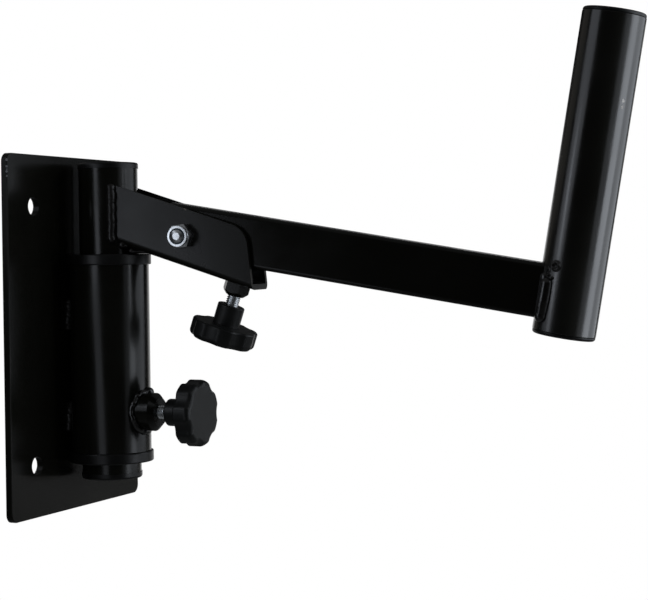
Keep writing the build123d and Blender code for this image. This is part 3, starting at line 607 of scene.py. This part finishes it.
def grown(name, source, tree, sizes, body, slot, *nodes):
    """Runs a Geometry Nodes tree on a source object and hands its mesh over."""
    bpy.context.scene.collection.objects.link(source)
    modifier = source.modifiers.new(tree.name, "NODES")
    modifier.node_group = tree
    for item in tree.interface.items_tree:
        if item.name in sizes and item.in_out == "INPUT":
            modifier[item.identifier] = sizes[item.name]
    view = bpy.context.evaluated_depsgraph_get()
    mesh = bpy.data.meshes.new_from_object(source.evaluated_get(view))
    source.modifiers.remove(modifier)
    bpy.data.objects.remove(source)
    return hand_over(name, mesh, body, slot, *nodes)


def paths(name, *routes, closed=False):
    """A curve object with one line for each route, which is a list of points."""
    curve = bpy.data.curves.new(name, "CURVE")
    curve.dimensions = "3D"
    for route in routes:
        spline = curve.splines.new("POLY")
        spline.points.add(len(route) - 1)
        for target, point in zip(spline.points, route):
            target.co = (*point, 1.0)
        spline.use_cyclic_u = closed
    return bpy.data.objects.new(name, curve)


print("pieces from the CAD model", len(frame["nodes"]))

# %% [markdown]
# Four short stitches of weld hold the sleeve to the plate, two on each side. They were laid
# fast in a narrow corner and look like uneven lumps, so the noise has much to say here.
# The CAD stitches tell how high and how low they reach, and each line lies inside one.

# %% Stitches between sleeve and plate
stitch_length, stitch_lift, stitch_aside = 0.019, 0.0014, 0.0102
stitch_low, stitch_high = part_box("sleeve_welds")
stitches = []
for foot_level in (stitch_high.z - stitch_length, stitch_low.z):
    for side in (-1, 1):
        foot = Vector((plate_face + stitch_lift, side * stitch_aside, foot_level))
        stitches.append([foot, foot + Vector((0, 0, stitch_length))])
stitch_sizes = {
    "Radius": 0.0031, "Ripple Pitch": 0.0024, "Ripple Depth": 0.06, "Unevenness": 2.4, "Wander": 0.0050,
    "Sway Length": 0.006, "End Length": 0.0030, "Seed": 3.0, "Finish": scaled_weld_paint,
}
stitch_lines = paths("stitch_lines", *stitches)
grown(
    "sleeve_weld_stitches", stitch_lines, bead, stitch_sizes,
    "wall_unit", "painted_weld", "sleeve_welds",
)

# %% [markdown]
# The boss of the lock screw stands on the round sleeve, so the line where they meet is not
# flat: it dips where the sleeve curves away. A flat ring would float there. Here the circle
# of the boss gives height and width, and the circle of the sleeve how far out each point is.

# %% Bead round the lock boss
boss_radius = half_width("lock_boss")
bead_out, boss_steps = 0.0003, 96
boss_line = []
for i in range(boss_steps):
    turn = math.tau * i / boss_steps
    aside = (boss_radius + bead_out) * math.cos(turn)
    rise = (boss_radius + bead_out) * math.sin(turn)
    out = math.sqrt((sleeve_radius + bead_out) ** 2 - aside**2)
    boss_line.append(Vector((tube_axis.x + out, aside, lock_hub.z + rise)))
# a ring has no ends, so next to nothing of it is rounded
boss_sizes = {
    "Radius": 0.0023, "Ripple Pitch": 0.0024, "Ripple Depth": 0.04, "Unevenness": 1.8, "Wander": 0.0028,
    "Sway Length": 0.007, "End Length": 0.00001, "Seed": 7.0, "Finish": weld_paint,
}
boss_path = paths("boss_line", boss_line, closed=True)
grown("boss_weld_bead", boss_path, bead, boss_sizes, "wall_unit", "painted_weld", "boss_weld")

# %% [markdown]
# The folded channel is welded to the swivel tube along both its flanges and under its web.
# The flanges are upright, so their beads are straight lines beside the tube. The web leans,
# so its bead is an arc round the tube in which each point is lifted to the leaning web.

# %% Lines where the channel meets the swivel tube
def tube_arc(half_turn, out):
    """Points of an arc round the swivel tube, centred on the arm's side, some way out from the tube."""
    arc_steps = 40
    points = []
    for i in range(arc_steps + 1):
        turn = math.radians(half_turn * (2 * i / arc_steps - 1))
        outward = level_out * math.cos(turn) + across * math.sin(turn)
        points.append(tube_axis + outward * (tube_radius + out))
    return points


flange_turn, flange_sink = math.radians(59.5), 0.0007
flange_reach = tube_radius - flange_sink
bead_low, bead_high = (corner.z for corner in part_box("channel_welds"))
channel_lines = []
for side in (-1, 1):
    aside = across * side * flange_reach * math.sin(flange_turn)
    foot = tube_axis + level_out * flange_reach * math.cos(flange_turn) + aside
    channel_lines.append([Vector((foot.x, foot.y, bead_low)), Vector((foot.x, foot.y, bead_high))])
web_down = -tilt_screw_up
web_reach = span("tilt_channel", pivot, web_down)[1]
under_web = tube_arc(half_turn=46, out=0.0002)
for spot in under_web:
    spot.z += (web_reach - (spot - pivot).dot(web_down)) / web_down.z
channel_lines.append(under_web)
print("upright beads of", round((bead_high - bead_low) * 1000, 1), "mm")

# %% Beads between the channel and the swivel tube
channel_sizes = {
    "Radius": 0.0027, "Ripple Pitch": 0.0026, "Ripple Depth": 0.02, "Unevenness": 0.45, "Wander": 0.0012,
    "End Length": 0.0028, "Seed": 11.0, "Finish": scaled_weld_paint,
}
channel_paths = paths("channel_lines", *channel_lines)
grown(
    "channel_weld_beads", channel_paths, bead, channel_sizes,
    "swivel", "painted_weld", "channel_welds",
)

# %% [markdown]
# Under the web a second pass was laid outside the first, and it fills the gap above the
# bush. The bush stays still while the tube turns, so this pass may not touch it: its level
# is worked out from the bush's top face, and the noise is nearly switched off.

# %% Outer pass under the web, just clear of the bush
pass_radius, pass_out, running_gap = 0.0017, 0.0054, 0.00003
# the little noise that is left makes the pass up to half a percent thicker
pass_swell = 1.005
pass_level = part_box("upper_bush")[1].z + running_gap + pass_radius * pass_swell
outer_pass = tube_arc(half_turn=34, out=pass_out)
for spot in outer_pass:
    spot.z = pass_level
pass_sizes = {
    "Radius": pass_radius, "Ripple Pitch": 0.0026, "Ripple Depth": 0.004, "Unevenness": 0.02, "Wander": 0.0,
    "End Length": 0.0016, "Seed": 13.0, "Finish": scaled_weld_paint,
}
grown("web_weld_pass", paths("outer_pass_line", outer_pass), bead, pass_sizes, "swivel", "painted_weld")

# %% [markdown]
# The arm ends square against the round pole, which leaves a deep corner on each side. A
# welder fills it in two passes: a root pass in the corner and a cap pass that leans over it.
# Both are lines between two points, measured from the pole's axis at the arm's middle.

# %% Beads in the corners between the arm and the pole
pole_foot = pole_top - pole_up * (pole_top - pivot).dot(pole_up)
# each end of a pass: toward the arm, aside, and up along the pole
root_pass = ((0.0124, 0.0094, -0.0126), (0.0124, 0.0094, 0.0142))
cap_pass = ((0.0116, 0.0131, -0.0138), (0.0107, 0.0139, 0.0112))
corner_lines = []
for side in (-1, 1):
    for ends in (root_pass, cap_pass):
        line_ends = []
        for inward, aside, rise in ends:
            line_ends.append(pole_foot - arm_out * inward + across * side * aside + pole_up * rise)
        corner_lines.append(line_ends)
pole_sizes = {
    "Radius": 0.0037, "Ripple Pitch": 0.0028, "Ripple Depth": 0.006, "Unevenness": 0.20, "Wander": 0.0016,
    "Sway Length": 0.016, "End Length": 0.0034, "Seed": 5.0, "Finish": weld_paint,
}
corner_paths = paths("corner_lines", *corner_lines)
grown("pole_weld_beads", corner_paths, bead, pole_sizes, "arm", "painted_weld", "pole_weld")

# %% [markdown]
# Where the welder stopped, at the top of the bead on the pole, the last puddle left a small
# crater: a raised ring with a dimple, and three drops of spatter lie beside it. They are
# single little forms, so they are drawn point by point on the pole's own curve, with
# their edges sunk under the paint of the pole.

# %% A drop of weld on the pole
def lump(shape, down, turn, size, rise, dimple):
    """Adds one drop of weld to a bmesh: a raised ring, or a dome where the dimple is 0."""
    foot = pole_top - pole_up * down
    outward = pole_outward(turn)
    sideways = pole_up.cross(outward)
    rings, spokes = 12, 32
    # where the crest is and how wide, as shares of the size
    crest, spread = 0.55 * dimple, 0.26
    broad_wave, fine_wave = 0.22, 0.1
    edge_sink, root_sink = 0.0004, 0.0010
    rows = []
    for i in range(1, rings + 1):
        share = i / rings
        row = []
        for k in range(spokes):
            round_turn = math.tau * k / spokes
            uneven = 1 + broad_wave * math.sin(2 * round_turn + 0.7) + fine_wave * math.sin(5 * round_turn)
            height = rise * uneven * math.exp(-(((share - crest) / spread) ** 2)) - edge_sink * share**4
            angle = size * share * math.cos(round_turn) / tube_radius
            shell = (tube_radius + height) * (outward * math.cos(angle) + sideways * math.sin(angle))
            row.append(shape.verts.new(foot + shell + pole_up * size * share * math.sin(round_turn)))
        rows.append(row)
    middle_rise = rise * math.exp(-((crest / spread) ** 2))
    over = shape.verts.new(foot + outward * (tube_radius + middle_rise))
    under = shape.verts.new(foot + outward * (tube_radius - root_sink))
    for k in range(spokes):
        after = (k + 1) % spokes
        shape.faces.new((over, rows[0][k], rows[0][after]))
        shape.faces.new((under, rows[-1][after], rows[-1][k]))
        for inner, outer in zip(rows, rows[1:]):
            shape.faces.new((inner[k], outer[k], outer[after], inner[after]))


print("drops lie on a curve of", round(tube_radius * 1000, 2), "mm")

# %% Crater and spatter at the end of the pole's weld
def finished_mesh(name, shape, finish, crease):
    """Turns a bmesh into a mesh with its faces outward, smooth but for edges sharper than the crease."""
    bmesh.ops.recalc_face_normals(shape, faces=shape.faces)
    for face in shape.faces:
        face.smooth = True
    for edge in shape.edges:
        edge.smooth = edge.calc_face_angle(0) < crease
    mesh = bpy.data.meshes.new(name)
    shape.to_mesh(mesh)
    shape.free()
    mesh.materials.append(finish)
    return mesh


drops = bmesh.new()
lump(drops, down=0.13891, turn=65.89, size=0.0038, rise=0.0012, dimple=1.0)
for down, turn, size, rise in (
    (0.14147, 49.15, 0.0023, 0.0009),
    (0.14433, 53.95, 0.0026, 0.0010),
    (0.14570, 61.84, 0.0024, 0.0009),
):
    lump(drops, down, turn, size, rise, dimple=0.0)
drops_mesh = finished_mesh("weld_crater_and_spatter", drops, weld_paint, math.pi)
hand_over("weld_crater_and_spatter", drops_mesh, "arm", "painted_weld")

# %% [markdown]
# Both screws are M8 studs with a rolled thread of 1.25 mm pitch. A thread is a rule too: the
# radius at any point depends only on how far it is along and round the rod. So the tree rolls
# a flat grid into a rod and lets a saw-tooth of that distance raise the thread.

# %% Thread tree: named inputs
thread = bpy.data.node_groups.new("threaded_rod", "GeometryNodeTree")
inlet(thread, "Blank", "Geometry")
inlet(thread, "Length", "Float", 0.04)
inlet(thread, "Radius", "Float", 0.004)
inlet(thread, "Pitch", "Float", 0.00125)
inlet(thread, "Depth", "Float", 0.0006)
inlet(thread, "Tip Radius", "Float", 0.001)
inlet(thread, "Rows", "Int", 200)
inlet(thread, "Finish", "Material")
thread.interface.new_socket("Rod", in_out="OUTPUT", socket_type="NodeSocketGeometry")
rod = add(thread, "NodeGroupInput").outputs
print("thread inputs", [socket.name for socket in rod if socket.name])

# %% [markdown]
# The grid is one unit wide and long. Its X becomes the share of a turn round the rod and its
# Y the share of its length. Turns along less turns round is the same number all the way up
# a thread, and its distance from a whole number tells crest from root.

# %% Thread tree: the saw-tooth of the thread
turn_points = 41
unit_grid = {"Size X": 1.0, "Size Y": 1.0, "Vertices X": turn_points}
grid = add(thread, "GeometryNodeMeshGrid", unit_grid, {"Vertices Y": rod["Rows"]})
position = add(thread, "GeometryNodeInputPosition")
grid_spot = add(thread, "ShaderNodeSeparateXYZ", {}, {0: position}).outputs
round_share = add(thread, "ShaderNodeMath", {"operation": "ADD", 1: 0.5}, {0: grid_spot["X"]})
long_share = add(thread, "ShaderNodeMath", {"operation": "ADD", 1: 0.5}, {0: grid_spot["Y"]})
level = add(thread, "ShaderNodeMath", {"operation": "MULTIPLY"}, {0: long_share, 1: rod["Length"]})
turns_up = add(thread, "ShaderNodeMath", {"operation": "DIVIDE"}, {0: level, 1: rod["Pitch"]})
phase = add(thread, "ShaderNodeMath", {"operation": "SUBTRACT"}, {0: turns_up, 1: round_share})
saw = add(thread, "ShaderNodeMath", {"operation": "PINGPONG", 1: 0.5}, {0: phase})
# a flat root, straight flanks and a flat crest
flats = {"From Min": 0.06, "From Max": 0.42, "To Min": 1.0, "To Max": 0.0}
groove = add(thread, "ShaderNodeMapRange", flats, {"Value": saw})
cut = add(thread, "ShaderNodeMath", {"operation": "MULTIPLY"}, {0: groove, 1: rod["Depth"]})
flank = add(thread, "ShaderNodeMath", {"operation": "SUBTRACT"}, {0: rod["Radius"], 1: cut})
print("thread drawn with", turn_points - 1, "faces a turn")

# %% [markdown]
# The end of a stud is turned to a round tip so that it doesn't mark what it presses on. Its
# edge is a quarter circle, and the rod's radius is the smaller of that and the thread's. The
# first and last row of the grid are drawn in to the axis, which closes both ends.

# %% Thread tree: the rounded tip
tip = rod["Tip Radius"]
to_tip = add(thread, "ShaderNodeMath", {"operation": "SUBTRACT"}, {0: rod["Length"], 1: level})
in_tip = add(thread, "ShaderNodeMath", {"operation": "MINIMUM"}, {0: to_tip, 1: tip})
arc_run = add(thread, "ShaderNodeMath", {"operation": "SUBTRACT"}, {0: tip, 1: in_tip})
run_square = add(thread, "ShaderNodeMath", {"operation": "MULTIPLY"}, {0: arc_run, 1: arc_run})
tip_square = add(thread, "ShaderNodeMath", {"operation": "MULTIPLY"}, {0: tip, 1: tip})
arc_square = add(thread, "ShaderNodeMath", {"operation": "SUBTRACT"}, {0: tip_square, 1: run_square})
arc_rise = add(thread, "ShaderNodeMath", {"operation": "SQRT"}, {0: arc_square})
tip_core = add(thread, "ShaderNodeMath", {"operation": "SUBTRACT"}, {0: rod["Radius"], 1: tip})
tip_edge = add(thread, "ShaderNodeMath", {"operation": "ADD"}, {0: tip_core, 1: arc_rise})
outline = add(thread, "ShaderNodeMath", {"operation": "MINIMUM"}, {0: flank, 1: tip_edge})
off_middle = add(thread, "ShaderNodeMath", {"operation": "ABSOLUTE"}, {0: grid_spot["Y"]})
inside = add(thread, "ShaderNodeMath", {"operation": "LESS_THAN", 1: 0.4999}, {0: off_middle})
rod_radius = add(thread, "ShaderNodeMath", {"operation": "MULTIPLY"}, {0: outline, 1: inside})
print("tree so far", len(thread.nodes), "nodes")

# %% Thread tree: rolling the grid and plating it
rod_turn = add(thread, "ShaderNodeMath", {"operation": "MULTIPLY", 1: math.tau}, {0: round_share})
cosine = add(thread, "ShaderNodeMath", {"operation": "COSINE"}, {0: rod_turn})
sine = add(thread, "ShaderNodeMath", {"operation": "SINE"}, {0: rod_turn})
rod_x = add(thread, "ShaderNodeMath", {"operation": "MULTIPLY"}, {0: rod_radius, 1: cosine})
rod_y = add(thread, "ShaderNodeMath", {"operation": "MULTIPLY"}, {0: rod_radius, 1: sine})
rolled_to = add(thread, "ShaderNodeCombineXYZ", {}, {0: rod_x, 1: rod_y, 2: level})
rolled = add(thread, "GeometryNodeSetPosition", {}, {0: grid, "Position": rolled_to})
# the grid's two sides meet, and the ends shrink to a point each
seamed = add(thread, "GeometryNodeMergeByDistance", {"Distance": 0.00001}, {0: rolled})
rod_soft = add(thread, "GeometryNodeSetShadeSmooth", {}, {0: seamed})
rod_real = add(thread, "GeometryNodeRealizeInstances", {}, {0: rod_soft})
plated = add(thread, "GeometryNodeSetMaterial", {}, {"Geometry": rod_real, "Material": rod["Finish"]})
add(thread, "NodeGroupOutput", {}, {0: plated})
print("thread tree of", len(thread.nodes), "nodes")

# %% [markdown]
# Each star knob turns on such a stud: one holds the arm up from below, the other presses on
# the swivel tube. The plain CAD stud gives the length and place, so the rod is made upright
# at the origin and its mesh is then turned and moved to where the CAD stud is.

# %% Threaded studs of the two star knobs
thread_pitch, rows_per_turn = 0.00125, 8


def threaded_stud(name, node, body, origin, axis, tip_radius):
    """An M8 stud in the place of a plain CAD one, its tip at the far end of the axis."""
    start, stop = span(node, origin, axis)
    sizes = {
        "Length": stop - start,
        "Pitch": thread_pitch,
        "Tip Radius": tip_radius,
        "Rows": round((stop - start) / thread_pitch * rows_per_turn) + 1,
        "Finish": zinc,
    }
    blank = bpy.data.objects.new(name + "_blank", bpy.data.meshes.new(name + "_blank"))
    stud = grown(name, blank, thread, sizes, body, "zinc_steel", node)
    turned = axis.to_track_quat("Z", "Y").to_matrix().to_4x4()
    stud.data.transform(Matrix.Translation(origin + axis * start) @ turned)


toward_wall = Vector((-1, 0, 0))
threaded_stud("tilt_stud_threaded", "tilt_stud", "tilt_screw", tilt_hub, tilt_screw_up, tip_radius=0.003)
threaded_stud("lock_stud_threaded", "lock_stud", "lock_screw", lock_hub, toward_wall, tip_radius=0.0009)

# %% [markdown]
# The nut on the pivot bolt is a locking nut: its collar is rolled over a nylon ring, which
# leaves a bright flat lip, and the bolt behind it ends in a turned cone. Both are round, so
# an outline is written as radius and height and turned about the bolt, as on a lathe.

# %% A turned form
spokes = 64


def turned_form(shape, origin, axis, outline, closed):
    """Turns an outline of (radius, height) about an axis. A closed outline makes a ring."""
    side = axis.orthogonal().normalized()
    other = axis.cross(side)
    rows = []
    for radius, height in outline:
        row = []
        # a point on the axis is shared by all the spokes
        for k in range(spokes if radius else 1):
            turn = math.tau * k / spokes
            spoke = side * math.cos(turn) + other * math.sin(turn)
            row.append(shape.verts.new(origin + axis * height + spoke * radius))
        rows.append(row)
    pairs = list(zip(rows, rows[1:])) + ([(rows[-1], rows[0])] if closed else [])
    for inner, outer in pairs:
        for k in range(spokes):
            corners = [inner[k % len(inner)], outer[k % len(outer)]]
            corners += [outer[(k + 1) % len(outer)], inner[(k + 1) % len(inner)]]
            # at the axis two corners are one point, which leaves a triangle
            shape.faces.new(list(dict.fromkeys(corners)))


print("turned forms have", spokes, "spokes")

# %% Rolled lip of the locking nut and cone on the bolt
# each point is a radius and a height over the end face of the nut or the bolt
lip_outline = [
    (0.00455, -0.0006), (0.00455, 0.00012), (0.00475, 0.00022), (0.0059, 0.0002),
    (0.00625, 0.00002), (0.00635, -0.00035), (0.00635, -0.0012),
]
cone_outline = [
    (0, 0.00045), (0.0021, 0.00045), (0.0023, 0.00038),
    (0.0037, -0.00035), (0.0037, -0.0006), (0, -0.0006),
]
nut_end = pivot + near_side * span("pivot_nut", pivot, near_side)[1]
bolt_end = pivot + near_side * span("pivot_bolt", pivot, near_side)[1]
lock_end = bmesh.new()
turned_form(lock_end, nut_end, near_side, lip_outline, closed=True)
turned_form(lock_end, bolt_end, near_side, cone_outline, closed=False)
lock_end_mesh = finished_mesh("nut_lip_and_bolt_end", lock_end, zinc, math.radians(15))
hand_over("nut_lip_and_bolt_end", lock_end_mesh, "swivel", "zinc_steel")

# %% [markdown]
# The box of the CAD model was kept at the start, and the scene is brought up to date at
# the end.

bpy.context.view_layer.update()
